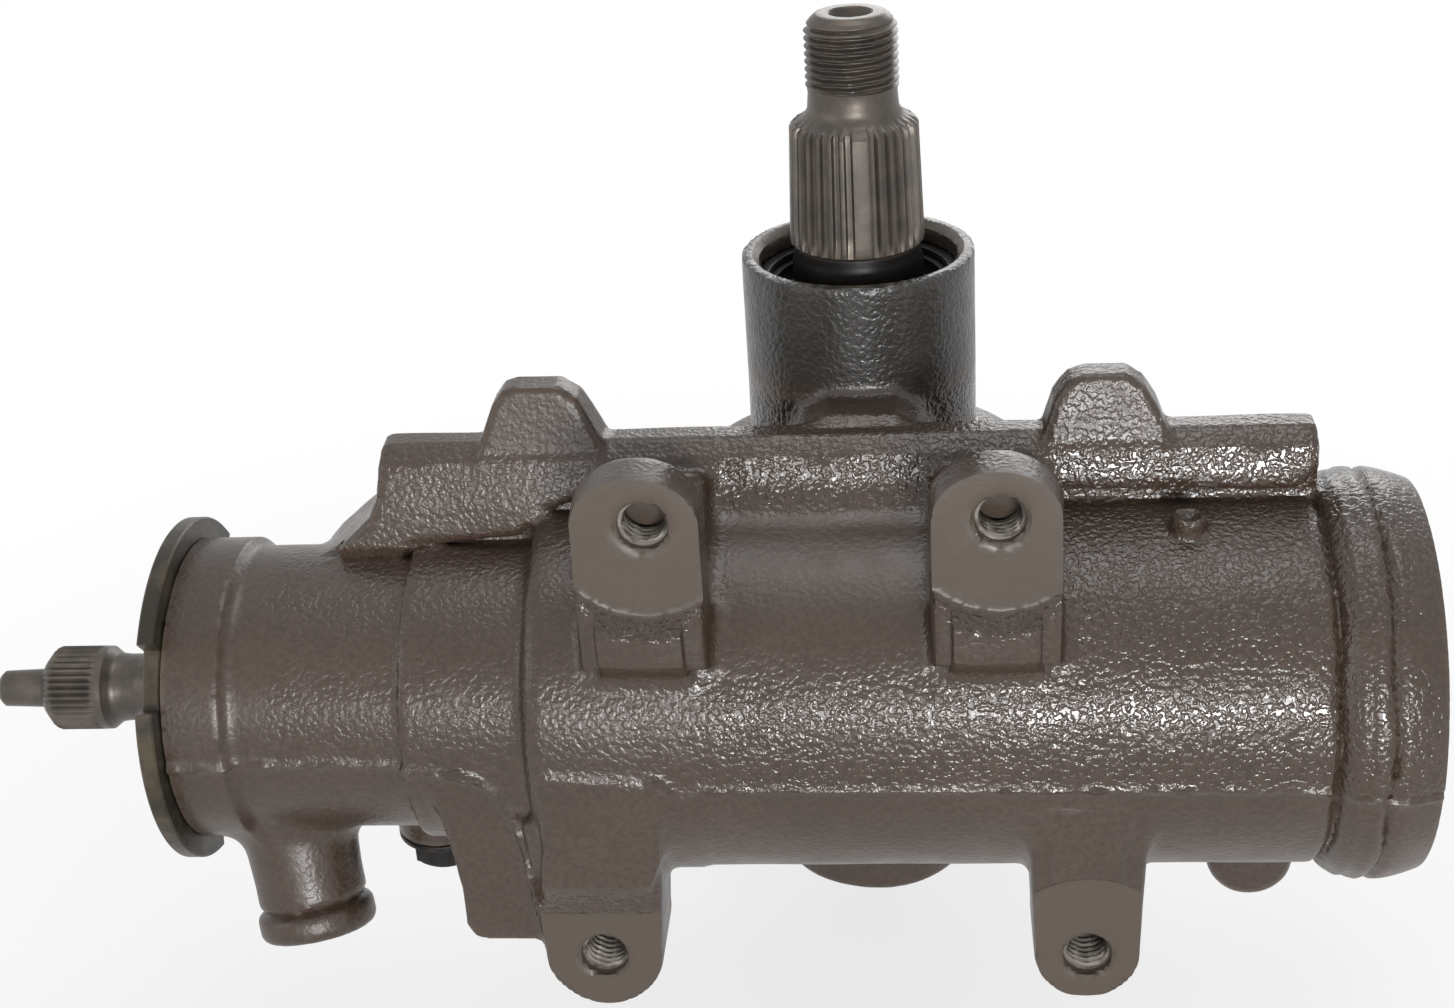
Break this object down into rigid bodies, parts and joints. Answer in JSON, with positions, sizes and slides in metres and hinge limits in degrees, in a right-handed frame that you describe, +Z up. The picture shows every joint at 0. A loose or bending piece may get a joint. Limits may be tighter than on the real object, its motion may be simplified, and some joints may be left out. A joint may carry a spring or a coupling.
{
  "type": "integral power steering gearbox",
  "caption": "Cast-iron integral power steering gearbox with splined output shaft, serrated input stub, tapped mounting pads, side cover and oil ports.",
  "frame": {"origin": "centre of the bounding box in plan, at the level of the lowest point, which is the end of the lash adjuster screw", "axes": "+Z up along the pitman shaft towards its splined output end; +X along the worm axis from the input stub towards the cylinder end plug; -Y out of the four mounting pads"},
  "size_m": [0.3394, 0.1494, 0.2442],
  "materials": {
    "cast_paint": "semi-gloss paint over sand-cast iron",
    "painted_steel": "painted turned steel",
    "shaft_steel": "dark ground steel",
    "bearing_steel": "ground steel",
    "seal_rubber": "moulded nitrile",
    "bronze": "turned bronze",
    "dark_hardware": "black oxide hardware with paint overspray",
    "gasket_fibre": "pressed fibre"
  },
  "bodies": {
    "gearbox": {"housing": "cast_paint", "side_cover": "cast_paint", "side_cover_gasket": "gasket_fibre", "side_cover_bush": "bronze", "side_cover_bolt_1": "dark_hardware", "side_cover_bolt_2": "dark_hardware", "side_cover_bolt_3": "dark_hardware", "side_cover_bolt_4": "dark_hardware", "adjuster_plug": "painted_steel", "adjuster_lock_ring": "painted_steel", "adjuster_o_ring": "seal_rubber", "stub_seal_retaining_ring": "dark_hardware", "stub_dust_seal": "seal_rubber", "stub_seal": "seal_rubber", "stub_needle_bearing": "bearing_steel", "upper_thrust_bearing": "bearing_steel", "lower_thrust_bearing": "bearing_steel", "cylinder_end_plug": "painted_steel", "end_plug_o_ring": "seal_rubber", "end_plug_retaining_ring": "dark_hardware", "pitman_needle_bearing": "bearing_steel", "pitman_inner_seal": "seal_rubber", "seal_backup_washer": "bearing_steel", "pitman_outer_seal": "seal_rubber", "pitman_seal_washer": "dark_hardware", "pitman_retaining_ring": "dark_hardware", "lash_adjuster_screw": "dark_hardware", "lash_lock_nut": "dark_hardware", "return_port_seat": "bronze", "pressure_port_plug": "dark_hardware"},
    "rack_piston": {"rack_piston": "bearing_steel", "piston_ring": "seal_rubber", "piston_end_plug": "dark_hardware", "ball_return_guide": "bearing_steel", "guide_clamp": "dark_hardware", "guide_screw_1": "dark_hardware", "guide_screw_2": "dark_hardware", "ball_01": "bearing_steel", "ball_02": "bearing_steel", "ball_03": "bearing_steel", "ball_04": "bearing_steel", "ball_05": "bearing_steel", "ball_06": "bearing_steel", "ball_07": "bearing_steel", "ball_08": "bearing_steel", "ball_09": "bearing_steel", "ball_10": "bearing_steel", "ball_11": "bearing_steel", "ball_12": "bearing_steel", "ball_13": "bearing_steel", "ball_14": "bearing_steel", "ball_15": "bearing_steel", "ball_16": "bearing_steel"},
    "worm": {"worm_shaft": "shaft_steel", "valve_body": "bearing_steel"},
    "input_stub": {"stub_shaft": "shaft_steel", "spool_valve": "bearing_steel", "torsion_bar": "bearing_steel"},
    "pitman": {"pitman_shaft": "shaft_steel"}
  },
  "joints": [
    {"name": "worm_turn", "type": "hinge", "parent": "gearbox", "child": "worm", "pos_m": [0, -0.02625, 0.097], "axis": [1, 0, 0], "range_deg": [-600, 600]},
    {"name": "piston_travel", "type": "slide", "parent": "gearbox", "child": "rack_piston", "axis": [1, 0, 0], "range_m": [-0.0185, 0.0185]},
    {"name": "pitman_turn", "type": "hinge", "parent": "gearbox", "child": "pitman", "pos_m": [0.04365, 0.02775, 0.097], "axis": [0, 0, 1], "range_deg": [-43, 43]},
    {"name": "input_twist", "type": "hinge", "parent": "worm", "child": "input_stub", "pos_m": [0, -0.02625, 0.097], "axis": [1, 0, 0], "range_deg": [-7, 7], "stiffness_Nm_per_rad": 60}
  ],
  "couplings": [
    {"joint": "worm_turn", "follows": "piston_travel", "rad_per_m": -565.54},
    {"joint": "pitman_turn", "follows": "piston_travel", "rad_per_m": 40.486}
  ]
}
